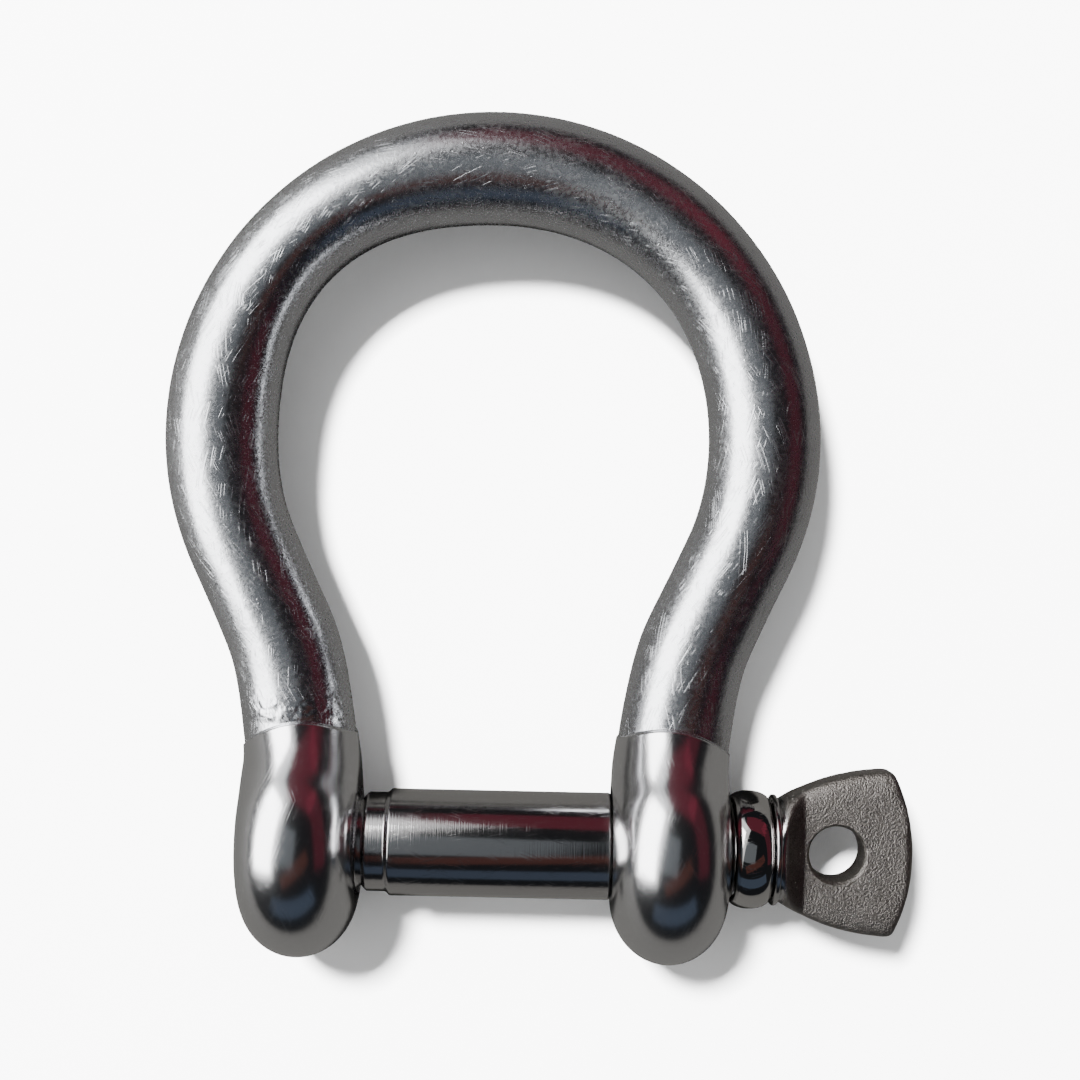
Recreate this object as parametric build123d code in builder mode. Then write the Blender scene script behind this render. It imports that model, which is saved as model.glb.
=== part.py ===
"""A 10 mm screw-pin bow shackle, lying flat.

The pin's axis is X with the head at +X, the crown of the bow is towards +Y, and Z is square to the
plane of the bow. The origin is on the pin's axis, midway between the two eyes. Sizes are in
millimetres.
"""

import os
from math import cos, radians, sin, tan

from build123d import *

# The round bar and the line it is bent to
BAR_R = 5.0
CROWN_R = 24.4  # radius of the crown, on the bar's centre line
CROWN_Y = 36.3  # centre of the crown's arc, above the pin's axis
LEG_SLOPE = 24.8  # how far each leg leans in, degrees
NECK_BEND_R = 30.5  # the bend that brings each leg back parallel, on the centre line

# The forged eyes
EYE_X = 16.5  # centre of an eye, from the middle of the jaw
EYE_R = 10.35
EYE_T = 10.4
RIM_R = 4.9  # rounding of the rim, nearly half of the thickness
SLEEVE_R = 5.35  # half width of the sleeve that the bar enters
SLEEVE_TOP = 11.0  # height of the die line above the pin's axis
SLEEVE_FILLET = 3.6  # hollow between the sleeve and the eye's round
PLAIN_HOLE_R = 5.2  # the thread passes through it freely
MOUTH = 0.5  # chamfer of the hole mouths

# The thread: 9.5 mm over the crests, 1.5 mm pitch, 60 degree flanks, with its play
PITCH = 1.5
PITCH_R = 4.263
FLANK = tan(radians(30))
PIN_CREST_R = 4.72
PIN_ROOT_R = 3.85
PIN_HALF_TOOTH = 0.3  # half thickness of the pin's tooth, at the pitch radius
NUT_CREST_R = 4.03
NUT_ROOT_R = 4.88
NUT_HALF_SPACE = 0.48  # half width of the eye's groove, at the pitch radius
SUNK = 0.1  # how far a tooth or a groove reaches into the round it joins

# The pin, from its thread to its neck
SHANK_R = 4.75
SEAT_R = 4.55  # inside the plain eye
RELIEF_R = 4.4
RELIEF_END = -8.4  # shoulder where the shank's full size begins
END_SET_IN = 0.4  # the pin's end lies this far inside the outer face of the tapped eye
END_CHAMFER = 0.5
THREAD_STOP = 0.2  # the tooth ends this far short of the relief
COLLAR_R = 5.25
COLLAR_T = 3.8
COLLAR_ROUND = 1.2
SEAT_GAP = 0.1  # between the collar and the eye
JOURNAL_R = 3.9  # the pin where the collar sits
RUNNING = 0.05  # play all round between the journal and the collar
FLANGE_R = 4.95
FLANGE_T = 0.5

# The head, pressed flat to a fan
HEAD_END = 38.2
HEAD_HALF_T = 2.1
HEAD_FLAT_X = 28.5  # where the flat face begins
HEAD_CORNER_X = 36.4
HEAD_CORNER_Y = 7.5
HEAD_WAIST_R = 4.55
HEAD_FLARE = (28.6, 5.2)  # these two shape the fan's hollow sides
HEAD_SHOULDER = (30.6, 7.2)
HEAD_RAMP_X = 27.3  # middle of the ramp from the neck to the flat
HEAD_RAMP_Z = 3.1
HEAD_FLARE_RISE = 9.5  # the round that the fan was pressed from widens this much
HEAD_CORNER_ROUND = 1.2
HEAD_BULGE_R = 0.75  # rounding of the pressed edge
WIRE_HOLE_X = 31.4
WIRE_HOLE_R = 2.45

INNER_FACE = EYE_X - EYE_T / 2
OUTER_FACE = EYE_X + EYE_T / 2
PIN_END = -OUTER_FACE + END_SET_IN
THREAD_END = -INNER_FACE + 0.3
COLLAR_X = OUTER_FACE + SEAT_GAP
COLLAR_END = COLLAR_X + COLLAR_T
FLANGE_X = COLLAR_END + 0.06
NECK_X = FLANGE_X + FLANGE_T


def bow_line():
    """The bar's centre line from the left eye over the crown to the right eye."""
    lean = radians(LEG_SLOPE)
    high = (CROWN_R * cos(lean), CROWN_Y - CROWN_R * sin(lean))
    run = (high[0] - NECK_BEND_R * (1 - cos(lean)) - EYE_X) / sin(lean)
    low = (high[0] - run * sin(lean), high[1] - run * cos(lean))
    foot = (EYE_X, low[1] - NECK_BEND_R * sin(lean))
    with BuildLine() as line:
        Line((-EYE_X, 0), (-foot[0], foot[1]))
        TangentArc((-foot[0], foot[1]), (-low[0], low[1]), tangent=(0, 1))
        Line((-low[0], low[1]), (-high[0], high[1]))
        ThreePointArc((-high[0], high[1]), (0, CROWN_Y + CROWN_R), high)
        Line(high, low)
        TangentArc(low, foot, tangent=(-sin(lean), -cos(lean)))
        Line(foot, (EYE_X, 0))
    return line.line


def make_helix(root_r, crest_r, half_width):
    """One long tooth on the pin's axis. A tooth and its groove are made on the same helix."""
    start = -OUTER_FACE - PITCH
    length = EYE_T + 2 * PITCH
    root_half = half_width + (PITCH_R - root_r) * FLANK
    crest_half = half_width + (PITCH_R - crest_r) * FLANK
    with BuildPart() as tooth:
        with BuildLine() as turn:
            Helix(PITCH, length, root_r, center=(start, 0, 0), direction=(1, 0, 0))
        begin = turn.line @ 0
        outward = Vector(0, begin.Y, begin.Z).normalized()
        with BuildSketch(Plane(begin, x_dir=outward, z_dir=turn.line % 0)):
            with BuildLine():
                Polyline(
                    (0, root_half),
                    (crest_r - root_r, crest_half),
                    (crest_r - root_r, -crest_half),
                    (0, -root_half),
                    close=True,
                )
            make_face()
        sweep(path=turn.line, is_frenet=True)
    return tooth.part


# An eye on the YZ plane at x = 0, with its sleeve towards +Y
with BuildPart() as eye_blank:
    with BuildSketch(Plane.YZ) as eye_side:
        Circle(EYE_R)
        with Locations((SLEEVE_TOP / 2, 0)):
            Rectangle(SLEEVE_TOP, 2 * SLEEVE_R)
        corners = eye_side.vertices().filter_by_position(Axis.X, 0.1, SLEEVE_TOP - 0.1)
        fillet(corners.filter_by(lambda v: abs(abs(v.Y) - SLEEVE_R) < 0.01), SLEEVE_FILLET)
    extrude(amount=EYE_T / 2, both=True)
    faces_out = eye_blank.faces().filter_by(Axis.X)
    rim = faces_out.edges().filter_by_position(Axis.Y, -EYE_R, SLEEVE_TOP - 0.05)
    fillet(rim, RIM_R)

# The bow: bar, two eyes, a plain hole and a tapped one
with BuildPart() as bow:
    path = bow_line()
    with BuildSketch(Plane(path @ 0, z_dir=path % 0)):
        Circle(BAR_R)
    sweep(path=path)
    for side in (-1, 1):
        with Locations((side * EYE_X, 0, 0)):
            add(eye_blank.part)
    with BuildSketch(Plane.XY) as plain_hole:
        with BuildLine():
            Polyline(
                (INNER_FACE - 1, 0),
                (INNER_FACE - 1, PLAIN_HOLE_R + MOUTH + 1),
                (INNER_FACE + MOUTH, PLAIN_HOLE_R),
                (OUTER_FACE - MOUTH, PLAIN_HOLE_R),
                (OUTER_FACE + 1, PLAIN_HOLE_R + MOUTH + 1),
                (OUTER_FACE + 1, 0),
                close=True,
            )
        make_face()
    revolve(axis=Axis.X, mode=Mode.SUBTRACT)
    add(make_helix(NUT_CREST_R - SUNK, NUT_ROOT_R, NUT_HALF_SPACE), mode=Mode.SUBTRACT)
    with Locations((-EYE_X, 0, 0)):
        Cylinder(NUT_CREST_R, EYE_T + 2, rotation=(0, 90, 0), mode=Mode.SUBTRACT)
    with BuildSketch(Plane.XY) as tap_mouths:
        for side in (-1, 1):
            face_x = -EYE_X + side * EYE_T / 2
            with BuildLine():
                Polyline(
                    (face_x + side, 0),
                    (face_x + side, NUT_ROOT_R + 1),
                    (face_x - side * NUT_ROOT_R, 0),
                    close=True,
                )
            make_face()
    revolve(axis=Axis.X, mode=Mode.SUBTRACT)

# The collar that seats on the plain eye
with BuildPart() as pin_collar:
    with BuildSketch(Plane.YZ.offset(COLLAR_X)):
        Circle(COLLAR_R)
        Circle(JOURNAL_R + RUNNING, mode=Mode.SUBTRACT)
    extrude(amount=COLLAR_T)
    outer = pin_collar.edges().filter_by(GeomType.CIRCLE).group_by(SortBy.RADIUS)[-1]
    fillet(outer, COLLAR_ROUND)

# The pin's thread, cut to length with a chamfered end
with BuildPart() as pin_thread:
    add(make_helix(PIN_ROOT_R - SUNK, PIN_CREST_R, PIN_HALF_TOOTH))
    with BuildSketch(Plane.XY):
        with BuildLine():
            Polyline(
                (PIN_END + SUNK, 0),
                (PIN_END + SUNK, PIN_ROOT_R - END_CHAMFER),
                (PIN_END + SUNK + END_CHAMFER + 1, PIN_ROOT_R + 1),
                (THREAD_END - THREAD_STOP, PIN_ROOT_R + 1),
                (THREAD_END - THREAD_STOP, 0),
                close=True,
            )
        make_face()
    revolve(axis=Axis.X, mode=Mode.INTERSECT)

# The head: a fan in plan, pressed flat, drawn from the round of the neck
with BuildPart() as head:
    with BuildSketch(Plane.XY):
        with BuildLine():
            waist = (NECK_X, HEAD_WAIST_R)
            corner = (HEAD_CORNER_X, HEAD_CORNER_Y)
            flare = Bezier(waist, HEAD_FLARE, HEAD_SHOULDER, corner)
            ThreePointArc(corner, (HEAD_END, 0), (HEAD_CORNER_X, -HEAD_CORNER_Y))
            mirror(flare, about=Plane.XZ)
            Line((NECK_X, -HEAD_WAIST_R), waist)
        make_face()
    extrude(amount=HEAD_WAIST_R, both=True)
    upright = head.edges().filter_by(Axis.Z)
    fillet(upright.filter_by_position(Axis.X, HEAD_CORNER_X - 0.1, HEAD_END), HEAD_CORNER_ROUND)
    with BuildSketch(Plane.XZ):
        with BuildLine():
            top = (NECK_X, HEAD_WAIST_R)
            heel = (HEAD_FLAT_X, HEAD_HALF_T)
            middle = (HEAD_RAMP_X, HEAD_RAMP_Z)
            ramp = ThreePointArc(top, middle, heel)
            land = Line(heel, (HEAD_END + 1, HEAD_HALF_T))
            mirror(Curve([ramp, land]), about=Plane.XZ)
            Line(top, (NECK_X, -HEAD_WAIST_R))
            Line((HEAD_END + 1, HEAD_HALF_T), (HEAD_END + 1, -HEAD_HALF_T))
        make_face()
    extrude(amount=HEAD_CORNER_Y + 1, both=True, mode=Mode.INTERSECT)
    with BuildSketch(Plane.XY):
        with BuildLine():
            Polyline(
                (NECK_X, 0),
                (NECK_X, HEAD_WAIST_R),
                (HEAD_END + 1, HEAD_WAIST_R + HEAD_FLARE_RISE),
                (HEAD_END + 1, 0),
                close=True,
            )
        make_face()
    revolve(axis=Axis.X, mode=Mode.INTERSECT)
    land_edges = head.faces().filter_by(Axis.Z).edges()
    fillet(land_edges.filter_by_position(Axis.X, HEAD_FLAT_X + 0.1, HEAD_END), HEAD_BULGE_R)

# The pin: thread, shank, journal, neck and head in one
with BuildPart() as screw_pin:
    with BuildSketch(Plane.XY):
        with BuildLine():
            Polyline(
                (PIN_END, 0),
                (PIN_END, PIN_ROOT_R - END_CHAMFER),
                (PIN_END + END_CHAMFER, PIN_ROOT_R),
                (THREAD_END, PIN_ROOT_R),
                (THREAD_END + RELIEF_R - PIN_ROOT_R, RELIEF_R),
                (RELIEF_END - SHANK_R + RELIEF_R, RELIEF_R),
                (RELIEF_END, SHANK_R),
                (INNER_FACE - SEAT_GAP, SHANK_R),
                (INNER_FACE - SEAT_GAP, SEAT_R),
                (OUTER_FACE, SEAT_R),
                (OUTER_FACE, JOURNAL_R),
                (FLANGE_X, JOURNAL_R),
                (FLANGE_X, FLANGE_R),
                (NECK_X, FLANGE_R),
                (NECK_X, 0),
                close=True,
            )
        make_face()
    revolve(axis=Axis.X)
    add(pin_thread.part)
    add(head.part)
    with Locations((WIRE_HOLE_X, 0, 0)):
        Hole(WIRE_HOLE_R)

os.makedirs("parts", exist_ok=True)
for name, built in (("bow", bow), ("pin_collar", pin_collar), ("screw_pin", screw_pin)):
    built.part.label = name
    export_step(built.part, f"parts/{name}.step")
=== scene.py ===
"""A screw-pin bow shackle in polished stainless steel, lying flat on a pale studio floor.

The forging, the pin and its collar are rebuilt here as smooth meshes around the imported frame.
Sizes in the classes are millimetres. Meshes are metres.
"""

from __future__ import annotations

import logging
import math
from dataclasses import dataclass, field
from enum import Enum

import bpy
from mathutils import Matrix, Vector


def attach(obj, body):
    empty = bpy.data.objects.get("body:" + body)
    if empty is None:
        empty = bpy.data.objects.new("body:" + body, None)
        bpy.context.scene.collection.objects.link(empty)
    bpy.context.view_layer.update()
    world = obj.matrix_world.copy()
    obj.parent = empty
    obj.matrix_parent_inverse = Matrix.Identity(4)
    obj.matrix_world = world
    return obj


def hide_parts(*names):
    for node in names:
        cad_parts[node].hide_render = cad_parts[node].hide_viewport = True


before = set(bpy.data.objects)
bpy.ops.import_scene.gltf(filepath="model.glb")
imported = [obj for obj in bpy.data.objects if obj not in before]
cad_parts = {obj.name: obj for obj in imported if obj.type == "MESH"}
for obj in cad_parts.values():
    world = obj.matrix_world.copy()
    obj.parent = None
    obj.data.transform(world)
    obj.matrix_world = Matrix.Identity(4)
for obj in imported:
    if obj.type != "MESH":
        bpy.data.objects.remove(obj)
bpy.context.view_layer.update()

MM = 0.001
TURN = 2 * math.pi
THREAD_FLANK = math.radians(30)
LINE_STEP = 0.35
log = logging.getLogger("shackle")

Point = tuple[float, float]
Colour = tuple[float, float, float, float]


# ---------------------------------------------------------------- node trees


@dataclass(frozen=True)
class Field:
    """A number or vector in a node tree. Its arithmetic lays Math nodes."""

    tree: bpy.types.NodeTree
    socket: bpy.types.NodeSocket

    def math(self, operation: str, *others: Field | float) -> Field:
        """Lays one Math node.

        Args:
            operation: the node's operation.
            others: the node's second and third values.

        Returns:
            The node's result.
        """
        node = self.tree.nodes.new("ShaderNodeMath")
        node.operation = operation
        for slot, value in zip(node.inputs, (self, *others)):
            feed(self.tree, value, slot)
        return Field(self.tree, node.outputs[0])

    def __add__(self, other: Field | float) -> Field:
        """Sum."""
        return self.math("ADD", other)

    def __sub__(self, other: Field | float) -> Field:
        """Difference."""
        return self.math("SUBTRACT", other)

    def __mul__(self, other: Field | float) -> Field:
        """Product."""
        return self.math("MULTIPLY", other)

    def __truediv__(self, other: Field | float) -> Field:
        """Quotient."""
        return self.math("DIVIDE", other)

    def __pow__(self, other: Field | float) -> Field:
        """Power."""
        return self.math("POWER", other)

    __radd__ = __add__
    __rmul__ = __mul__

    def __rsub__(self, other: float) -> Field:
        """A plain number less this."""
        return self.math("MULTIPLY", -1.0) + other

    def squared(self) -> Field:
        """Square."""
        return self.math("MULTIPLY", self)

    def root(self) -> Field:
        """Square root, with anything below zero taken as zero."""
        return self.most(0.0).math("SQRT")

    def sine(self) -> Field:
        """Sine."""
        return self.math("SINE")

    def cosine(self) -> Field:
        """Cosine."""
        return self.math("COSINE")

    def size(self) -> Field:
        """Absolute value."""
        return self.math("ABSOLUTE")

    def least(self, other: Field | float) -> Field:
        """The lesser of two."""
        return self.math("MINIMUM", other)

    def most(self, other: Field | float) -> Field:
        """The greater of two."""
        return self.math("MAXIMUM", other)

    def above(self, other: Field | float) -> Field:
        """1 where this is greater than other, else 0."""
        return self.math("GREATER_THAN", other)

    def below(self, other: Field | float) -> Field:
        """1 where this is less than other, else 0."""
        return self.math("LESS_THAN", other)

    def pick(self, yes: Field | float, no: Field | float) -> Field:
        """yes where this is 1, no where it is 0, and a mix between."""
        return self * yes + (1.0 - self) * no

    def ease(self, low: Field | float, high: Field | float) -> Field:
        """A smooth rise from 0 at low to 1 at high."""
        node = self.tree.nodes.new("ShaderNodeMapRange")
        node.interpolation_type = "SMOOTHSTEP"
        for name, value in (("Value", self), ("From Min", low), ("From Max", high)):
            feed(self.tree, value, node.inputs[name])
        return Field(self.tree, node.outputs["Result"])


Value = Field | float | int | bool | tuple


def feed(tree: bpy.types.NodeTree, value: Value, slot: bpy.types.NodeSocket) -> None:
    """Links a field to a socket, or sets the socket's own value."""
    if isinstance(value, Field):
        tree.links.new(value.socket, slot)
    else:
        slot.default_value = value


class Tree:
    """A node tree being built: a Geometry Nodes tree, a shader group or a material's own."""

    def __init__(self, tree: bpy.types.NodeTree) -> None:
        """Wraps an empty tree."""
        self.tree = tree

    def add(
        self, kind: str, settings: dict[str, object] | None = None, **values: Value
    ) -> bpy.types.Node:
        """Adds a node.

        Args:
            kind: the node's type name.
            settings: attributes to set on the node itself.
            values: what its inputs take, by name, with _ for a space.

        Returns:
            The new node.
        """
        node = self.tree.nodes.new(kind)
        for name, setting in (settings or {}).items():
            setattr(node, name, setting)
        for name, value in values.items():
            feed(self.tree, value, node.inputs[name.replace("_", " ")])
        return node

    def out(self, node: bpy.types.Node, name: str | int = 0) -> Field:
        """One output of a node, as a field."""
        return Field(self.tree, node.outputs[name])

    def split(self, vector: Field) -> tuple[Field, Field, Field]:
        """A vector's three parts."""
        node = self.add("ShaderNodeSeparateXYZ", Vector=vector)
        return tuple(self.out(node, axis) for axis in "XYZ")

    def join(self, x: Value, y: Value, z: Value) -> Field:
        """A vector from its three parts."""
        return self.out(self.add("ShaderNodeCombineXYZ", X=x, Y=y, Z=z))


class ShapeTree(Tree):
    """A Geometry Nodes tree with named inputs."""

    def __init__(self, name: str) -> None:
        """Starts a tree with one geometry in and one out."""
        super().__init__(bpy.data.node_groups.new(name, "GeometryNodeTree"))
        sockets = self.tree.interface
        sockets.new_socket("Geometry", in_out="INPUT", socket_type="NodeSocketGeometry")
        sockets.new_socket("Geometry", in_out="OUTPUT", socket_type="NodeSocketGeometry")
        self.entry = self.add("NodeGroupInput")
        self.exit = self.add("NodeGroupOutput")

    def number(self, name: str) -> Field:
        """A new named input for a number."""
        self.tree.interface.new_socket(name, in_out="INPUT", socket_type="NodeSocketFloat")
        return self.out(self.entry, name)

    def numbers(self, *names: str) -> list[Field]:
        """Several named inputs, in order."""
        return [self.number(name) for name in names]

    @property
    def geometry(self) -> Field:
        """What the modifier hands in."""
        return self.out(self.entry, "Geometry")

    @property
    def rail(self) -> Field:
        """The bare edges that the modifier hands in, as curves."""
        return self.out(self.add("GeometryNodeMeshToCurve", Mesh=self.geometry))

    def keep(self, geometry: Field, **things: Field) -> list[Field]:
        """Holds values on a geometry's points while it is turned into something else.

        Args:
            geometry: the points.
            things: the values, numbers or vectors, by name.

        Returns:
            The geometry, and then each value.
        """
        node = self.add("GeometryNodeCaptureAttribute", Geometry=geometry)
        for name, value in things.items():
            vector = value.socket.type == "VECTOR"
            node.capture_items.new("VECTOR" if vector else "FLOAT", name)
            feed(self.tree, value, node.inputs[name])
        return [self.out(node, name) for name in ("Geometry", *things)]

    def sweep(self, line: Field, around: int, caps: bool = False) -> dict[str, Field]:
        """Lays a tube's grid over a line, for its places to be worked out afterwards.

        Args:
            line: the curve.
            around: points in each ring.
            caps: whether the two end rings are filled.

        Returns:
            The mesh, and on its points the line's place, its heading, the length along it and the
            angle round the ring.
        """
        span = self.add("GeometryNodeSplineParameter")
        place = self.out(self.add("GeometryNodeInputPosition"))
        heading = self.out(self.add("GeometryNodeInputTangent"))
        line, place, heading, along = self.keep(
            line, place=place, heading=heading, along=self.out(span, "Length")
        )
        circle = self.add("GeometryNodeCurvePrimitiveCircle", Resolution=around)
        ring, part = self.keep(self.out(circle), part=self.out(span, "Factor"))
        mesh = self.add("GeometryNodeCurveToMesh", Curve=line, Fill_Caps=caps)
        feed(self.tree, ring, mesh.inputs["Profile Curve"])
        return {
            "mesh": self.out(mesh),
            "place": place,
            "heading": heading,
            "along": along,
            "angle": part * TURN,
        }

    def place(self, geometry: Field, position: Field) -> Field:
        """Moves every point to a worked-out place."""
        return self.out(self.add("GeometryNodeSetPosition", Geometry=geometry, Position=position))

    def push(self, geometry: Field, height: Field) -> Field:
        """Moves every point along its normal."""
        normal = self.out(self.add("GeometryNodeInputNormal"))
        scaled = self.add("ShaderNodeVectorMath", {"operation": "SCALE"}, Vector=normal, Scale=height)
        return self.out(self.add("GeometryNodeSetPosition", Geometry=geometry, Offset=self.out(scaled)))

    def waves(self, size: float, seed: float) -> Field:
        """Soft random waves, from about -0.5 to 0.5.

        Args:
            size: a wave's length in millimetres.
            seed: a fixed number, one for each use.

        Returns:
            The wave's height.
        """
        noise = self.add(
            "ShaderNodeTexNoise",
            {"noise_dimensions": "4D"},
            W=seed,
            Scale=1 / (size * MM),
            Detail=2.0,
        )
        place = self.out(self.add("GeometryNodeInputPosition"))
        feed(self.tree, place, noise.inputs["Vector"])
        return self.out(noise, 0) - 0.5

    def weld(self, geometry: Field, distance: float = 0.002) -> Field:
        """Merges points that are closer than a distance in millimetres."""
        return self.out(
            self.add("GeometryNodeMergeByDistance", Geometry=geometry, Distance=distance * MM)
        )

    def store(self, geometry: Field, name: str, value: Field) -> Field:
        """Stores a vector on the mesh under a name that a material can read."""
        node = self.add(
            "GeometryNodeStoreNamedAttribute",
            {"data_type": "FLOAT_VECTOR", "domain": "POINT"},
            Geometry=geometry,
            Name=name,
            Value=value,
        )
        return self.out(node)

    def finish(self, geometry: Field) -> bpy.types.NodeTree:
        """Ends the tree with this geometry."""
        feed(self.tree, geometry, self.exit.inputs["Geometry"])
        return self.tree


def finishing_tree() -> bpy.types.NodeTree:
    """The last tree on every piece: smooth shading with crisp edges, real instances, one finish."""
    build = ShapeTree("finish_piece")
    (crisp,) = build.numbers("Crisp Angle")
    build.tree.interface.new_socket("Finish", in_out="INPUT", socket_type="NodeSocketMaterial")
    bend = build.out(build.add("GeometryNodeInputMeshEdgeAngle"), "Unsigned Angle")
    faces = build.add("GeometryNodeSetShadeSmooth", Geometry=build.geometry, Shade_Smooth=True)
    edges = build.add(
        "GeometryNodeSetShadeSmooth",
        {"domain": "EDGE"},
        Geometry=build.out(faces),
        Shade_Smooth=bend.below(crisp),
    )
    real = build.add("GeometryNodeRealizeInstances", Geometry=build.out(edges))
    dressed = build.add("GeometryNodeSetMaterial", Geometry=build.out(real))
    build.tree.links.new(build.entry.outputs["Finish"], dressed.inputs["Material"])
    return build.finish(build.out(dressed))


def drive(piece: bpy.types.Object, tree: bpy.types.NodeTree, **values: object) -> None:
    """Puts a tree on a piece and sets its inputs by the sockets' identifiers.

    Args:
        piece: the object that takes the modifier.
        tree: the Geometry Nodes tree.
        values: what each named input takes, with _ for a space.
    """
    modifier = piece.modifiers.new(tree.name, "NODES")
    modifier.node_group = tree
    sockets = {s.name: s.identifier for s in tree.interface.items_tree if s.in_out == "INPUT"}
    for name, value in values.items():
        modifier[sockets[name.replace("_", " ")]] = value


def settle(piece: bpy.types.Object, name: str) -> bpy.types.Object:
    """Turns a piece and its modifiers into one plain mesh object at the origin.

    Args:
        piece: the object that carries the modifiers. It is removed.
        name: the finished piece's name.

    Returns:
        The finished piece.
    """
    graph = bpy.context.evaluated_depsgraph_get()
    mesh = bpy.data.meshes.new_from_object(
        piece.evaluated_get(graph), preserve_all_data_layers=True, depsgraph=graph
    )
    mesh.name = name
    bpy.data.objects.remove(piece)
    made = bpy.data.objects.new(name, mesh)
    bpy.context.scene.collection.objects.link(made)
    return made


def line_object(name: str, *runs: list[Point]) -> bpy.types.Object:
    """A mesh object of bare edges, one chain for each run.

    Args:
        name: the object's name.
        runs: each run's points, in millimetres.

    Returns:
        The object, linked to the scene.
    """
    points: list[tuple[float, float, float]] = []
    edges: list[tuple[int, int]] = []
    for run in runs:
        first = len(points)
        points += [(x * MM, y * MM, 0.0) for x, y in run]
        edges += [(i, i + 1) for i in range(first, len(points) - 1)]
    mesh = bpy.data.meshes.new(name)
    mesh.from_pydata(points, edges, [])
    made = bpy.data.objects.new(name, mesh)
    bpy.context.scene.collection.objects.link(made)
    return made


def cut(piece: bpy.types.Object, tool: bpy.types.Object, operation: str = "DIFFERENCE") -> None:
    """Adds a Boolean that cuts a tool from a piece, or joins the two."""
    modifier = piece.modifiers.new(tool.name, "BOOLEAN")
    modifier.object = tool
    modifier.operation = operation
    modifier.solver = "EXACT"


def spread(low: float, high: float, step: float) -> list[float]:
    """Evenly spaced numbers from low up to, but not at, high, no further apart than step."""
    count = max(1, math.ceil(abs(high - low) / step))
    return [low + (high - low) * i / count for i in range(count)]


def soft_corners(points: list[Point], radius: float) -> list[Point]:
    """Rounds each inner corner of a profile with a short arc.

    Args:
        points: the profile's corners.
        radius: how far from a corner its rounding begins, where there is room.

    Returns:
        The profile with three points in place of each inner corner.
    """
    made = [points[0]]
    for before, corner, after in zip(points, points[1:], points[2:]):
        here = Vector(corner)
        back, on = Vector(before) - here, Vector(after) - here
        reach = min(radius, back.length / 2.2, on.length / 2.2)
        first, last = here + back.normalized() * reach, here + on.normalized() * reach
        made += [tuple(first), tuple((first + last + 2 * here) / 4), tuple(last)]
    return [*made, points[-1]]


# ---------------------------------------------------------------- shapes


def skin_tree() -> bpy.types.NodeTree:
    """The bow's skin, laid over the bar's centre line: a pole, an eye, its sleeve, the bar and back."""
    build = ShapeTree("forged_skin")
    bar, eye, thick, depth, sleeve, fillet = build.numbers(
        "Bar R", "Eye R", "Half T", "Depth", "Sleeve R", "Fillet"
    )
    crown_r, crown_y, die_y, arch, slim, thin_left, thin_right = build.numbers(
        "Crown R", "Crown Y", "Die Y", "Arch", "Slim", "Thin Left", "Thin Right"
    )
    wave, fine = build.numbers("Wave", "Fine Wave")
    tube = build.sweep(build.rail, 128)
    along, across = tube["angle"].cosine(), tube["angle"].sine()
    x, y, _ = build.split(tube["place"])
    x, y = x / MM, y / MM
    tx, ty, _ = build.split(tube["heading"])

    hollow_z = sleeve + fillet
    hollow_y = ((eye + fillet).squared() - hollow_z.squared()).root()
    tangent_y = hollow_y * eye / (eye + fillet)
    hollow = hollow_z - (fillet.squared() - (y - hollow_y).squared()).root()
    upper = y.below(hollow_y).pick(hollow, sleeve)
    breadth = y.below(tangent_y).pick((eye.squared() - y.squared()).root(), upper)
    eye_z = breadth * across
    height = eye_z.size()
    in_eye = eye - (y.squared() + eye_z.squared()).root()
    in_hollow = ((y - hollow_y).squared() + (height - hollow_z).squared()).root() - fillet
    inside = y.below(hollow_y).pick(in_hollow, sleeve - height)
    inside = (height * hollow_y).above(y * hollow_z).pick(in_eye, inside)
    share = (inside / depth).most(0.0).least(1.0)
    eye_off = along.math("SIGN") * thick * (1.0 - (1.0 - share).squared()).root()

    turned = 2.0 * x * (y - crown_y) / crown_r.squared()
    thin = x.above(0.0).pick(thin_right, thin_left) * turned.squared() * y.above(crown_y)
    down_leg = ((crown_y - y) / (crown_y - die_y)).most(0.0).least(1.0)
    full = 1.0 - slim * (down_leg * math.pi).sine().squared()
    bar_off = along * bar * full * (1.0 - along.below(0.0) * thin)
    bar_z = across * bar

    past_die = y.ease(die_y - 0.1, die_y + 0.1)
    off = past_die.pick(bar_off, eye_off)
    z = past_die.pick(bar_z, eye_z)
    near = y.ease(5.0, die_y) * (1.0 - y.ease(die_y, die_y + 7.0))
    lower = arch * along.squared() * near
    spot = build.join((x - ty * off) * MM, (y + tx * off - lower) * MM, z * MM)
    mesh = build.weld(build.place(tube["mesh"], spot))
    mesh = build.push(mesh, build.waves(7.0, 3.1) * wave * MM)
    mesh = build.push(mesh, build.waves(1.6, 8.4) * fine * past_die * MM)
    run = build.join(tube["along"] / MM, tube["angle"] * bar, past_die)
    return build.finish(build.store(mesh, "run", run))


def lathe_tree() -> bpy.types.NodeTree:
    """Turns a profile about X. The profile's Y is the radius."""
    build = ShapeTree("turned_profile")
    (wave,) = build.numbers("Wave")
    tube = build.sweep(build.rail, 96)
    x, radius, _ = build.split(tube["place"])
    spot = build.join(x, radius * tube["angle"].cosine(), radius * tube["angle"].sine())
    mesh = build.weld(build.place(tube["mesh"], spot))
    return build.finish(build.push(mesh, build.waves(4.0, 1.7) * wave * MM))


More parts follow.
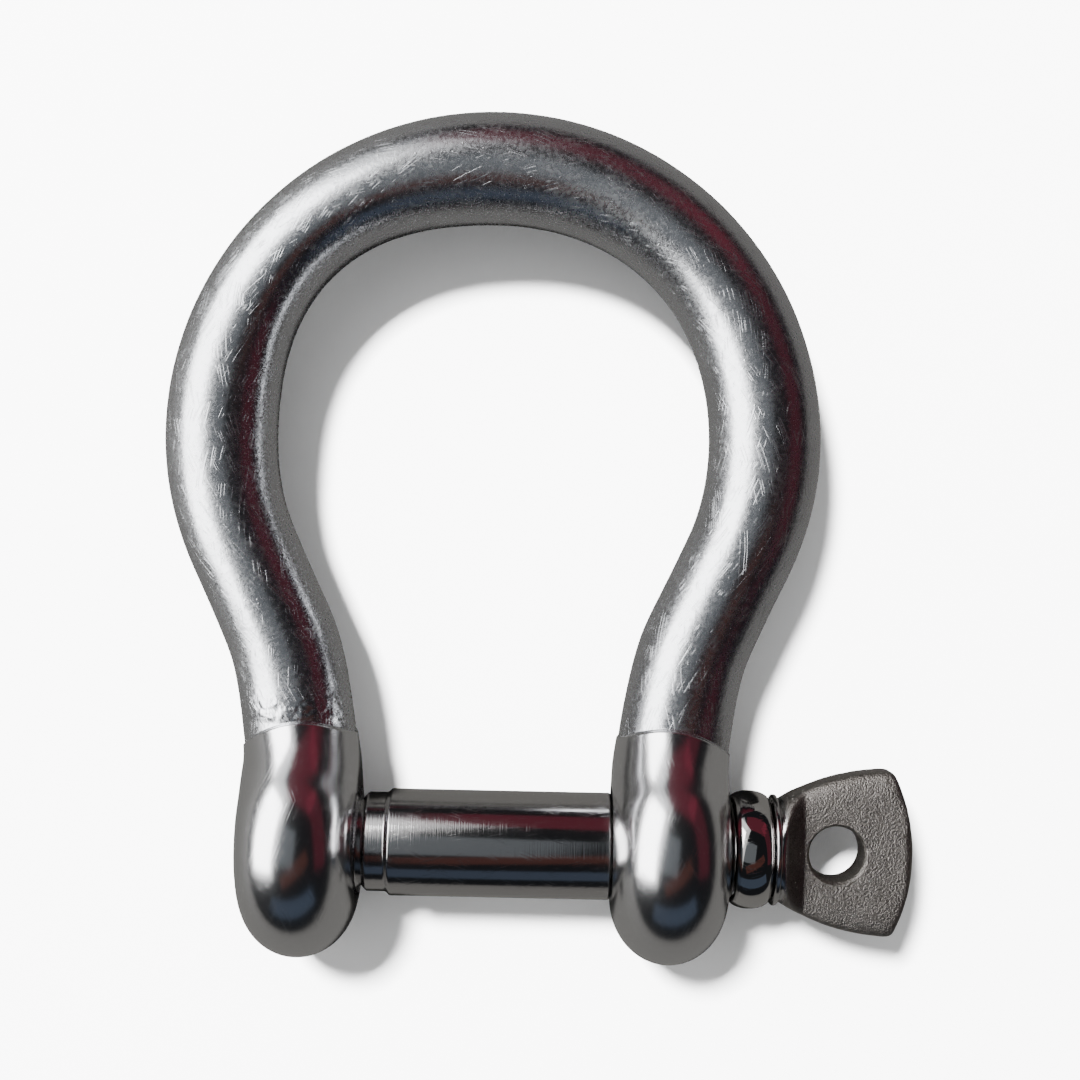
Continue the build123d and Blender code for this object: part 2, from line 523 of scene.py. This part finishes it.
def thread_tree() -> bpy.types.NodeTree:
    """Adds a screw thread's surface between two ends, its rows on the helix, and welds it on."""
    build = ShapeTree("screw_thread")
    start, stop, pitch, middle, half = build.numbers("Start", "Stop", "Pitch", "Pitch R", "Half")
    root, crest, left, right, rise, shift = build.numbers(
        "Root", "Crest", "Left R", "Right R", "End Rise", "Shift"
    )
    rows, per_turn = 216, 24
    grid = build.add(
        "GeometryNodeMeshGrid", Size_X=1.0, Size_Y=1.0, Vertices_X=rows + 1, Vertices_Y=97
    )
    across, round_, _ = build.split(build.out(build.add("GeometryNodeInputPosition")))
    across, round_ = across + 0.5, round_ + 0.5
    x = start + pitch * (across * (rows / per_turn) - round_)
    x = x.most(start).least(stop)
    phase = ((x - shift) / pitch + round_).math("FRACT") - 0.5
    tooth = middle + (half - phase.size() * pitch) / math.tan(THREAD_FLANK)
    tooth = tooth.most(root).least(crest)
    outer_left, outer_right = left + (x - start) * rise, right + (stop - x) * rise
    lead = tooth.least(outer_left).least(outer_right)
    flare = tooth.most(outer_left).most(outer_right)
    radius = rise.above(0.0).pick(lead, flare)
    angle = round_ * TURN
    spot = build.join(x * MM, radius * angle.cosine() * MM, radius * angle.sine() * MM)
    surface = build.place(build.out(grid), spot)
    joined = build.add("GeometryNodeJoinGeometry")
    build.tree.links.new(build.geometry.socket, joined.inputs[0])
    build.tree.links.new(surface.socket, joined.inputs[0])
    return build.finish(build.weld(build.out(joined)))


def fan_tree() -> bpy.types.NodeTree:
    """The head over its half plan: round at the neck, pressed to a flat fan, rounded at the rim."""
    build = ShapeTree("pressed_fan")
    half_t, neck_x, heel_x, end_x, neck_r, rise, edge, power, wave = build.numbers(
        "Half T", "Neck X", "Heel X", "End X", "Neck R", "Rise", "Edge", "Power", "Wave"
    )
    tube = build.sweep(build.rail, 144, caps=True)
    x, width, _ = build.split(tube["place"])
    x, width = x / MM, (width / MM).most(0.02)
    ramp = ((heel_x - x) / (heel_x - neck_x)).most(0.0).least(1.0) ** 1.4
    thick = half_t + (neck_r * 1.08 - half_t) * ramp
    left_over = (edge - (end_x - x)).most(0.0)
    thick = thick - edge + (edge.squared() - left_over.squared()).root()
    lead_y = (width ** 0.7) * tube["angle"].cosine()
    lead_z = (thick ** 0.7) * tube["angle"].sine()
    length = (lead_y.squared() + lead_z.squared()).root()
    lead_y, lead_z = lead_y / length, lead_z / length
    inverse = power ** -1.0 * -1.0
    plate = ((lead_y / width).size() ** power + (lead_z / thick).size() ** power) ** inverse
    stock = neck_r + rise * (x - neck_x).most(0.0)
    radius = plate / ((1.0 + (plate / stock) ** 16.0) ** 0.0625)
    spot = build.join(x * MM, lead_y * radius * MM, lead_z * radius * MM)
    mesh = build.weld(build.place(tube["mesh"], spot))
    return build.finish(build.push(mesh, build.waves(2.6, 5.5) * wave * MM))


@dataclass
class Trees:
    """Every node tree that makes a piece, built once."""

    skin: bpy.types.NodeTree = field(default_factory=skin_tree)
    lathe: bpy.types.NodeTree = field(default_factory=lathe_tree)
    thread: bpy.types.NodeTree = field(default_factory=thread_tree)
    fan: bpy.types.NodeTree = field(default_factory=fan_tree)
    finish: bpy.types.NodeTree = field(default_factory=finishing_tree)


# ---------------------------------------------------------------- finishes


class Slot(Enum):
    """The record's material slots."""

    BOW = "bow_steel"
    COLLAR = "collar_steel"
    PIN = "pin_steel"


class ShadeTree(Tree):
    """A shader node group with named inputs and outputs."""

    def __init__(self, name: str, **inputs: float) -> None:
        """Starts a group that takes a vector and these numbers."""
        super().__init__(bpy.data.node_groups.new(name, "ShaderNodeTree"))
        sockets = self.tree.interface
        sockets.new_socket("Vector", in_out="INPUT", socket_type="NodeSocketVector")
        for label, value in inputs.items():
            socket = sockets.new_socket(label, in_out="INPUT", socket_type="NodeSocketFloat")
            socket.default_value = value
        self.entry = self.add("NodeGroupInput")
        self.exit = self.add("NodeGroupOutput")

    def take(self, name: str) -> Field:
        """One of the group's inputs."""
        return self.out(self.entry, name)

    def give(self, name: str, value: Field) -> None:
        """Adds a number to the group's outputs."""
        self.tree.interface.new_socket(name, in_out="OUTPUT", socket_type="NodeSocketFloat")
        feed(self.tree, value, self.exit.inputs[name])

    def noise(self, vector: Field, scale: Value, detail: float = 3.0) -> Field:
        """Fractal noise from about 0 to 1."""
        return self.out(
            self.add("ShaderNodeTexNoise", Vector=vector, Scale=scale, Detail=detail), 0
        )


def scratch_group() -> bpy.types.NodeTree:
    """Fine broken scratches in two directions. The vector's X runs along them."""
    build = ShadeTree("fine_scratches", Scale=1.0, Stretch=0.05, Lean=0.4)
    x, y, z = build.split(build.take("Vector"))
    lines = None
    for lean, seed in ((1.0, 0.0), (-0.7, 17.0)):
        sheared = y + x * build.take("Lean") * lean
        spot = build.join(x * build.take("Stretch") + seed, sheared, z)
        ridge = 1.0 - (build.noise(spot, build.take("Scale"), 1.0) - 0.5).size() * 40.0
        broken = build.noise(build.join(x, y, z + seed), 0.6, 1.0).ease(0.48, 0.62)
        line = ridge.most(0.0) * broken
        lines = line if lines is None else lines.most(line)
    build.give("Mask", lines)
    return build.tree


def grain_group() -> bpy.types.NodeTree:
    """The pebbly grain of a drawn and tumbled bar, with pin-prick specks."""
    build = ShadeTree("pebbled_grain", Scale=3.0, Specks=1.2)
    vector = build.take("Vector")
    build.give("Height", build.noise(vector, build.take("Scale"), 3.0))
    cells = build.add("ShaderNodeTexVoronoi", Vector=vector, Scale=build.take("Specks"))
    rare = build.noise(vector, 0.35, 1.0).ease(0.42, 0.6)
    build.give("Specks", (1.0 - build.out(cells, "Distance").ease(0.05, 0.13)) * rare)
    build.give("Patches", build.noise(vector, 0.22, 2.0))
    return build.tree


@dataclass(frozen=True)
class Steel:
    """One steel with two looks on it, such as a satin bar with polished eyes."""

    slot: Slot
    polished: Colour
    worked: Colour
    polished_roughness: float
    worked_roughness: float
    worked_spread: float
    worked_bump: float
    scratch_bump: float
    grain_scale: float = 3.0
    turned: float = 0.0

    def mask(self, tree: Tree, place: Field) -> Field:
        """0 where the steel is polished, 1 where it is left as worked."""
        if self.slot is Slot.BOW:
            run = tree.out(tree.add("ShaderNodeAttribute", {"attribute_name": "run"}), "Vector")
            return tree.split(run)[2]
        x = tree.split(place)[0]
        return x.ease(26.3, 26.9) if self.slot is Slot.PIN else x * 0.0

    def surface(self, groups: dict[str, bpy.types.NodeTree]) -> bpy.types.Material:
        """Builds the material.

        Args:
            groups: the shared node groups, by name.

        Returns:
            The finished material.
        """
        material = bpy.data.materials.new(self.slot.value)
        material.use_nodes = True
        tree = Tree(material.node_tree)
        shader = material.node_tree.nodes["Principled BSDF"]
        coordinates = tree.add("ShaderNodeTexCoord")
        scaled = tree.add(
            "ShaderNodeVectorMath",
            {"operation": "SCALE"},
            Vector=tree.out(coordinates, "Object"),
            Scale=1 / MM,
        )
        place = tree.out(scaled)
        mask = self.mask(tree, place)
        lay = place
        if self.slot is Slot.BOW:
            lay = tree.out(tree.add("ShaderNodeAttribute", {"attribute_name": "run"}), "Vector")
        grain = tree.add(
            "ShaderNodeGroup",
            {"node_tree": groups["grain"]},
            Vector=place,
            Scale=self.grain_scale,
        )
        lines = tree.add(
            "ShaderNodeGroup", {"node_tree": groups["scratches"]}, Vector=lay, Scale=2.2
        )
        height, specks = tree.out(grain, "Height"), tree.out(grain, "Specks")
        patches, scratches = tree.out(grain, "Patches"), tree.out(lines, "Mask")
        worked = self.worked_roughness + (height - 0.5) * self.worked_spread
        worked = worked + (patches - 0.5) * 0.5 * self.worked_spread
        polished = self.polished_roughness + (patches - 0.5) * 0.04
        rough = mask.pick(worked, polished) + scratches * 0.05
        feed(tree.tree, rough, shader.inputs["Roughness"])
        tone = tree.add("ShaderNodeMix", {"data_type": "RGBA"})
        feed(tree.tree, mask, tone.inputs["Factor"])
        tone.inputs[6].default_value = self.polished
        tone.inputs[7].default_value = self.worked
        pricked = tree.add("ShaderNodeMix", {"data_type": "RGBA"})
        feed(tree.tree, specks * mask * 0.6, pricked.inputs["Factor"])
        tree.tree.links.new(tone.outputs[2], pricked.inputs[6])
        pricked.inputs[7].default_value = (0.9, 0.89, 0.87, 1.0)
        tree.tree.links.new(pricked.outputs[2], shader.inputs["Base Color"])
        shader.inputs["Metallic"].default_value = 1.0
        relief = mask * self.worked_bump * (height + specks * 0.8)
        relief = relief + scratches * self.scratch_bump * (0.3 + 0.7 * mask)
        if self.slot is Slot.BOW:
            x, y, _ = tree.split(place)
            struck = y.ease(10.8, 11.6) * (1.0 - y.ease(12.4, 14.2)) * x.below(0.0) * mask
            dents = tree.add("ShaderNodeTexNoise", Vector=place, Scale=1.3, Detail=1.0)
            relief = relief + struck * tree.out(dents, 0) * 2.6
        if self.turned:
            x = tree.split(place)[0]
            rings = tree.add(
                "ShaderNodeTexNoise", {"noise_dimensions": "1D"}, W=x, Scale=9.0, Detail=2.0
            )
            relief = relief + tree.out(rings, 0) * self.turned * (1.0 - mask)
        bump = tree.add("ShaderNodeBump", Height=relief, Distance=0.05 * MM, Strength=1.0)
        tree.tree.links.new(bump.outputs[0], shader.inputs["Normal"])
        return material


STEELS = (
    Steel(
        slot=Slot.BOW,
        polished=(0.74, 0.74, 0.75, 1.0),
        worked=(0.6, 0.61, 0.63, 1.0),
        polished_roughness=0.19,
        worked_roughness=0.26,
        worked_spread=0.25,
        worked_bump=0.28,
        scratch_bump=0.16,
    ),
    Steel(
        slot=Slot.COLLAR,
        polished=(0.68, 0.67, 0.66, 1.0),
        worked=(0.68, 0.67, 0.66, 1.0),
        polished_roughness=0.06,
        worked_roughness=0.1,
        worked_spread=0.05,
        worked_bump=0.0,
        scratch_bump=0.15,
    ),
    Steel(
        slot=Slot.PIN,
        polished=(0.6, 0.59, 0.59, 1.0),
        worked=(0.27, 0.252, 0.235, 1.0),
        polished_roughness=0.14,
        worked_roughness=0.42,
        worked_spread=0.3,
        worked_bump=2.6,
        scratch_bump=0.15,
        grain_scale=6.5,
        turned=0.12,
    ),
)


# ---------------------------------------------------------------- the shackle


@dataclass
class Shop:
    """What every sub-assembly is made with: the trees and the finishes."""

    trees: Trees = field(default_factory=Trees)
    steels: dict[Slot, bpy.types.Material] = field(init=False)

    def __post_init__(self) -> None:
        """Builds the shared groups and every steel."""
        groups = {"scratches": scratch_group(), "grain": grain_group()}
        self.steels = {steel.slot: steel.surface(groups) for steel in STEELS}

    def turn(self, name: str, *profiles: list[Point], wave: float = 0.0) -> bpy.types.Object:
        """Starts a turned piece from profiles of length and radius."""
        piece = line_object(name, *profiles)
        drive(piece, self.trees.lathe, Wave=wave)
        return piece

    def deliver(self, piece: bpy.types.Object, name: str, slot: Slot, body: str, crisp: float) -> None:
        """Finishes a piece and puts it on its body in place of the CAD node.

        Args:
            piece: the object with its modifiers.
            name: the finished piece's name.
            slot: the record's material slot.
            body: the body it rides, which is also the node it replaces.
            crisp: edges sharper than this many degrees stay crisp.
        """
        drive(
            piece,
            self.trees.finish,
            Crisp_Angle=math.radians(crisp),
            Finish=self.steels[slot],
        )
        made = settle(piece, name)
        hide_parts(body)
        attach(made, body)
        log.info("%s: %d faces", name, len(made.data.polygons))


@dataclass
class ScrewThread:
    """The thread that the pin and the tapped eye share. Both lie on one helix."""

    pitch: float = 1.5
    pitch_r: float = 4.263
    shift: float = -23.2

    def add(
        self,
        shop: Shop,
        piece: bpy.types.Object,
        ends: tuple[Point, Point],
        half: float,
        radii: Point,
        rise: float,
    ) -> None:
        """Puts the thread's surface on a turned piece with a gap in it.

        Args:
            shop: what it is made with.
            piece: the turned piece.
            ends: length and radius at each end of the gap.
            half: half width of the tooth or groove at the pitch radius.
            radii: the least and the greatest radius.
            rise: how steeply the radius is held at the ends, below zero where the mouth flares.
        """
        (start, left), (stop, right) = ends
        drive(
            piece,
            shop.trees.thread,
            Start=start,
            Stop=stop,
            Pitch=self.pitch,
            Pitch_R=self.pitch_r,
            Half=half,
            Root=radii[0],
            Crest=radii[1],
            Left_R=left,
            Right_R=right,
            End_Rise=rise,
            Shift=self.shift,
        )


@dataclass
class BowForging:
    """The bent bar with its two forged eyes, one plain and one tapped."""

    bar_r: float = 5.0
    crown_r: float = 24.4
    crown_y: float = 36.3
    lean: float = math.radians(24.8)
    bend_r: float = 30.5
    eye_x: float = 16.5
    eye_r: float = 10.35
    half_t: float = 5.2
    die_y: float = 11.0
    plain_r: float = 5.2
    mouth_r: float = 5.6
    mouth: float = 0.6
    groove_half: float = 0.48
    groove: Point = (4.03, 4.88)
    depth: float = 5.6
    sleeve_r: float = 4.6
    fillet: float = 16.0
    thread: ScrewThread = field(default_factory=ScrewThread)

    def line(self) -> list[Point]:
        """The centre line from below the left eye, over the crown, to below the right eye."""
        lean = self.lean
        high = (self.crown_r * math.cos(lean), self.crown_y - self.crown_r * math.sin(lean))
        run = (high[0] - self.bend_r * (1 - math.cos(lean)) - self.eye_x) / math.sin(lean)
        low = (high[0] - run * math.sin(lean), high[1] - run * math.cos(lean))
        foot_y = low[1] - self.bend_r * math.sin(lean)
        heights = [-self.eye_r * math.cos(a) for a in spread(0.0, math.pi / 2, 0.055)]
        heights += spread(0.0, self.die_y - 0.4, 0.3)
        heights += spread(self.die_y - 0.4, self.die_y + 0.3, 0.05)
        heights += spread(self.die_y + 0.3, low[1], 0.32)
        half = []
        for y in heights:
            rise = max(0.0, y - foot_y)
            swing = self.bend_r - math.sqrt(self.bend_r**2 - rise**2)
            half.append((self.eye_x + swing, y))
        for share in spread(0.0, 1.0, LINE_STEP / run):
            half.append(
                (low[0] + share * (high[0] - low[0]), low[1] + share * (high[1] - low[1]))
            )
        for a in spread(-lean, math.pi / 2, LINE_STEP / self.crown_r):
            half.append((self.crown_r * math.cos(a), self.crown_y + self.crown_r * math.sin(a)))
        top = (0.0, self.crown_y + self.crown_r)
        return [(-x, y) for x, y in half] + [top] + half[::-1]

    def plain_hole(self, shop: Shop) -> bpy.types.Object:
        """The cutter for the eye that the pin slides through."""
        near, far = self.eye_x - self.half_t, self.eye_x + self.half_t
        r = self.plain_r
        profile = [(near - 1, 0), (near - 1, r + 1.2), (near + 0.2, r), (far - 0.2, r)]
        profile += [(far + 1, r + 1.2), (far + 1, 0)]
        return shop.turn("plain_hole", soft_corners(profile, 0.25))

    def tapped_hole(self, shop: Shop) -> bpy.types.Object:
        """The cutter for the threaded eye."""
        far, near = -self.eye_x - self.half_t, -self.eye_x + self.half_t
        r, lip = self.mouth_r, self.mouth
        ends = ((far - lip, r), (near + lip, r))
        left = [(far - 2 * lip, 0), (far - 2 * lip, r), (far - lip, r)]
        right = [(near + lip, r), (near + 2 * lip, r), (near + 2 * lip, 0)]
        piece = shop.turn("tapped_hole", left, right)
        self.thread.add(shop, piece, ends, self.groove_half, self.groove, -1.0)
        return piece

    def build(self, shop: Shop) -> None:
        """Makes the forging."""
        piece = line_object("forging", self.line())
        drive(
            piece,
            shop.trees.skin,
            Bar_R=self.bar_r,
            Eye_R=self.eye_r - 0.03,
            Half_T=self.half_t - 0.02,
            Depth=self.depth,
            Sleeve_R=self.sleeve_r,
            Fillet=self.fillet,
            Crown_R=self.crown_r,
            Crown_Y=self.crown_y,
            Die_Y=self.die_y,
            Arch=1.8,
            Slim=0.045,
            Thin_Left=0.25,
            Thin_Right=0.1,
            Wave=0.05,
            Fine_Wave=0.012,
        )
        cutters = (self.plain_hole(shop), self.tapped_hole(shop))
        for cutter in cutters:
            cut(piece, cutter)
        shop.deliver(piece, "bow_forging", Slot.BOW, "bow", 40.0)
        for cutter in cutters:
            bpy.data.objects.remove(cutter)


@dataclass
class PinCollar:
    """The polished collar between the plain eye and the head."""

    start: float = 21.8
    length: float = 3.8
    radius: float = 5.25
    bore_r: float = 3.95
    gap: float = 0.02
    crowning: float = 1.2
    shoulder: float = 1.25

    def build(self, shop: Shop) -> None:
        """Makes the collar."""
        end = self.start + self.length
        middle, half = (self.start + end) / 2, self.length / 2
        near, far = self.start + self.gap, end - self.gap
        inner = [(near, self.bore_r), (near, self.radius - self.shoulder)]
        barrel = [
            (
                middle + (half - self.gap) * math.sin(a),
                self.radius - self.crowning + self.crowning * math.cos(a) ** 0.8,
            )
            for a in spread(-math.pi / 2, math.pi / 2, 0.13)
        ]
        outer = [(far, self.radius - self.crowning), (far, self.bore_r)]
        bore = [(x, self.bore_r) for x in spread(far, near, 0.5)][1:]
        profile = inner + barrel[1:] + outer + bore + inner[:1]
        piece = shop.turn("collar", profile)
        shop.deliver(piece, "polished_collar", Slot.COLLAR, "pin_collar", 50.0)


@dataclass
class ScrewPin:
    """The pin: thread, relief, shank, journal, flange, neck and the pressed fan head."""

    end: float = -21.3
    thread_end: float = -11.0
    root_r: float = 3.85
    crest_r: float = 4.72
    shank: tuple[Point, ...] = (
        (-11.0, 3.85),
        (-10.45, 4.4),
        (-8.75, 4.4),
        (-8.4, 4.75),
        (11.15, 4.75),
        (11.3, 4.55),
        (21.65, 4.55),
        (21.7, 3.9),
        (25.66, 3.9),
        (25.66, 4.8),
        (25.76, 4.93),
        (26.06, 4.93),
        (26.16, 4.8),
        (26.2, 3.9),
        (26.6, 3.9),
        (26.6, 0.0),
    )
    neck_x: float = 26.16
    neck_r: float = 4.55
    head_end: float = 38.2
    head_half: float = 7.42
    end_sag: float = 1.8
    tip_chamfer: float = 0.5
    tooth_half: float = 0.3
    hole: Point = (31.4, 2.45)
    thread: ScrewThread = field(default_factory=ScrewThread)

    def fan_plan(self) -> list[Point]:
        """Half the head's outline, from inside the flange to the middle of its end."""
        curve = ((self.neck_x, 4.9), (28.6, 5.45), (30.6, 7.2), (36.4, self.head_half))
        points: list[Point] = [(25.9, 4.9)]
        for t in spread(0.0, 1.0, 0.018):
            weights = ((1 - t) ** 3, 3 * t * (1 - t) ** 2, 3 * t * t * (1 - t), t**3)
            points.append(tuple(sum(w * p[i] for w, p in zip(weights, curve)) for i in (0, 1)))
        sag, half = self.end_sag, self.head_half
        end_r = (half * half + sag * sag) / (2 * sag)
        corner = math.asin(half / end_r)
        tip = [
            (self.head_end - end_r * (1 - math.cos(a)), end_r * math.sin(a))
            for a in spread(corner, 0.0, 0.012)
        ]
        smooth = points + tip + [(self.head_end, 0.0)]
        for _ in range(6):
            smooth = [smooth[0]] + [
                ((a[0] + 2 * b[0] + c[0]) / 4, (a[1] + 2 * b[1] + c[1]) / 4)
                for a, b, c in zip(smooth, smooth[1:], smooth[2:])
            ] + [smooth[-1]]
        return smooth

    def build(self, shop: Shop) -> None:
        """Makes the pin and its head in one piece."""
        tip = [(self.end, 0.0), (self.end, self.root_r - self.tip_chamfer)]
        shaft = soft_corners(list(self.shank), 0.12)
        piece = shop.turn("shaft", tip, shaft)
        ends = (tip[-1], (self.thread_end, self.root_r))
        self.thread.add(shop, piece, ends, self.tooth_half, (self.root_r, self.crest_r), 1.0)
        fan = line_object("fan", self.fan_plan())
        drive(
            fan,
            shop.trees.fan,
            Half_T=2.07,
            Neck_X=self.neck_x,
            Heel_X=28.5,
            End_X=self.head_end - 0.02,
            Neck_R=self.neck_r,
            Rise=0.73,
            Edge=0.8,
            Power=7.0,
            Wave=0.12,
        )
        x, r = self.hole
        drill = shop.turn(
            "wire_hole",
            soft_corners([(-3, 0), (-3, r + 1.4), (-1.85, r), (1.85, r), (3, r + 1.4), (3, 0)], 0.3),
        )
        drill.matrix_world = Matrix.Translation((x * MM, 0, 0)) @ Matrix.Rotation(TURN / 4, 4, "Y")
        cut(piece, fan, "UNION")
        cut(piece, drill)
        shop.deliver(piece, "screw_pin_forging", Slot.PIN, "screw_pin", 35.0)
        for tool in (fan, drill):
            bpy.data.objects.remove(tool)


# ---------------------------------------------------------------- the studio


class Lights(Enum):
    """What a soft light is for."""

    REFLECTIONS = "seen in the steel"
    SHADOWS = "falls on the floor"


@dataclass(frozen=True)
class SoftBox:
    """One soft light. Its radiance is how bright its own face is."""

    name: str
    purpose: Lights
    place: tuple[float, float, float]
    size: Point
    radiance: float
    tint: tuple[float, float, float] = (1.0, 1.0, 1.0)

    def build(self) -> None:
        """Adds the light, aimed at the shackle."""
        light = bpy.data.lights.new(self.name, "AREA")
        light.shape = "RECTANGLE"
        light.size, light.size_y = self.size
        light.energy = self.radiance * math.pi * self.size[0] * self.size[1]
        light.color = self.tint
        holder = bpy.data.objects.new(self.name, light)
        holder.location = self.place
        towards = Vector((0.0, 0.025, 0.0)) - Vector(self.place)
        holder.rotation_euler = towards.to_track_quat("-Z", "Y").to_euler()
        holder.visible_glossy = self.purpose is Lights.REFLECTIONS
        holder.visible_diffuse = self.purpose is Lights.SHADOWS
        bpy.context.scene.collection.objects.link(holder)


def two_toned(
    nodes: bpy.types.NodeTree, in_steel: Colour, seen: Colour, socket: bpy.types.NodeSocket
) -> None:
    """Feeds a socket one colour for the camera and another for reflections.

    Args:
        nodes: the floor's or the world's node tree.
        in_steel: the colour that reflections show.
        seen: the colour that the camera sees.
        socket: what takes the colour.
    """
    tree = Tree(nodes)
    path = tree.add("ShaderNodeLightPath")
    tone = tree.add("ShaderNodeMix", {"data_type": "RGBA"})
    feed(nodes, tree.out(path, "Is Camera Ray"), tone.inputs["Factor"])
    tone.inputs[6].default_value = in_steel
    tone.inputs[7].default_value = seen
    nodes.links.new(tone.outputs[2], socket)


@dataclass(frozen=True)
class Studio:
    """The pale floor, the soft lights and the camera."""

    floor_z: float = -10.36
    floor_colour: Colour = (0.9, 0.9, 0.9, 1.0)
    floor_in_steel: Colour = (0.02, 0.0195, 0.0185, 1.0)
    surround: Colour = (0.012, 0.013, 0.015, 1.0)
    backdrop: Colour = (6.0, 6.0, 6.0, 1.0)
    camera_at: tuple[float, float, float] = (4.4, 27.4, 153.0)
    camera_roll: float = 0.0213
    lens: float = 56.67
    sensor: float = 36.0
    floor_reach: float = 2.0
    boxes: tuple[SoftBox, ...] = (
        SoftBox("key", Lights.SHADOWS, (-0.43, 0.61, 1.45), (0.2, 0.2), 2300.0),
        SoftBox("fill", Lights.SHADOWS, (-0.2, 0.2, 1.6), (3.0, 3.0), 1.3),
        SoftBox("window", Lights.REFLECTIONS, (-0.63, 0.2, 0.48), (1.1, 0.6), 8.5),
        SoftBox("window_glow", Lights.REFLECTIONS, (-0.6, 0.25, 0.5), (1.6, 0.9), 0.9),
        SoftBox("sky", Lights.REFLECTIONS, (-0.62, 0.85, 0.55), (0.8, 0.6), 0.45, (0.94, 0.97, 1.0)),
        SoftBox("ceiling", Lights.REFLECTIONS, (-0.42, 0.1, 1.3), (1.0, 1.5), 0.16, (0.85, 0.93, 1)),
        SoftBox("maroon", Lights.REFLECTIONS, (0.75, 0.25, 0.45), (1.2, 0.4), 0.07, (1.0, 0.1, 0.2)),
        SoftBox("maroon_far", Lights.REFLECTIONS, (0.25, 0.8, 0.5), (1.0, 0.5), 0.11, (1, 0.1, 0.2)),
        SoftBox("rust", Lights.REFLECTIONS, (0.2, -0.4, 1.0), (1.2, 0.3), 0.07, (1.0, 0.3, 0.2)),
        SoftBox("blue", Lights.REFLECTIONS, (0.1, -0.9, 0.5), (1.5, 0.4), 0.09, (0.5, 0.68, 1.0)),
    )

    def build(self) -> None:
        """Sets the stage."""
        mesh = bpy.data.meshes.new("floor")
        reach, z = self.floor_reach, self.floor_z * MM
        corners = [(-reach, -reach, z), (reach, -reach, z), (reach, reach, z), (-reach, reach, z)]
        mesh.from_pydata(corners, [], [(0, 1, 2, 3)])
        floor = bpy.data.objects.new("floor", mesh)
        bpy.context.scene.collection.objects.link(floor)
        pale = bpy.data.materials.new("pale_floor")
        pale.use_nodes = True
        shader = pale.node_tree.nodes["Principled BSDF"]
        two_toned(pale.node_tree, self.floor_in_steel, self.floor_colour, shader.inputs["Base Color"])
        shader.inputs["Roughness"].default_value = 0.8
        shader.inputs["Specular IOR Level"].default_value = 0.1
        mesh.materials.append(pale)
        world = bpy.data.worlds.new("surround")
        world.use_nodes = True
        sky = world.node_tree.nodes["Background"].inputs["Color"]
        two_toned(world.node_tree, self.surround, self.backdrop, sky)
        bpy.context.scene.world = world
        for box in self.boxes:
            box.build()
        camera = bpy.data.cameras.new("camera")
        camera.lens, camera.sensor_width = self.lens, self.sensor
        camera.clip_start, camera.clip_end = 0.01, 20.0
        holder = bpy.data.objects.new("camera", camera)
        holder.location = [v * MM for v in self.camera_at]
        holder.rotation_euler = (0.0, 0.0, self.camera_roll)
        bpy.context.scene.collection.objects.link(holder)
        bpy.context.scene.camera = holder


def main() -> None:
    """Builds the shackle, piece by piece, and its studio."""
    logging.basicConfig(level=logging.INFO)
    shop = Shop()
    for part in (BowForging(), PinCollar(), ScrewPin()):
        part.build(shop)
    Studio().build()


if __name__ == "__main__":
    main()
